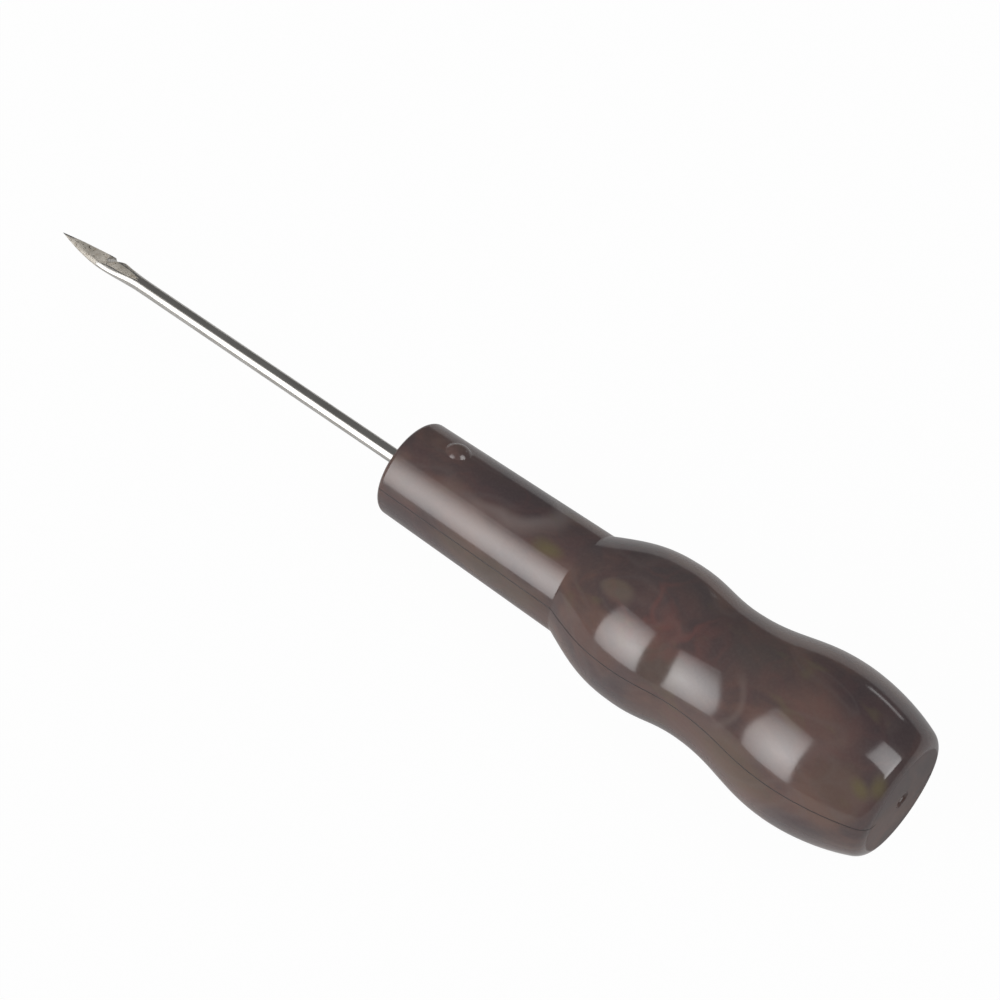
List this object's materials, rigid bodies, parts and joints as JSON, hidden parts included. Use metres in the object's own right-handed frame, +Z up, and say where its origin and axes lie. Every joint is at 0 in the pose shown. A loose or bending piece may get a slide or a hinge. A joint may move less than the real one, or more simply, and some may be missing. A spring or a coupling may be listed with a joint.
{
  "type": "hook awl",
  "caption": "Hook awl for sewing leather and shoes: a barbed, slotted steel needle moulded into a waisted plastic handle with a flat butt.",
  "frame": {"origin": "under the middle of the awl's box, on the bench that it lies on", "axes": "+Z up, +X from the tip towards the butt, +Y towards the side that the thread slot opens on"},
  "size_m": [0.151, 0.024, 0.024],
  "materials": {
    "handle_plastic": "glossy marbled brown moulding",
    "needle_steel": "polished rod, ground head"
  },
  "bodies": {
    "root": {"handle": "handle_plastic", "hook_needle": "needle_steel"}
  },
  "joints": []
}
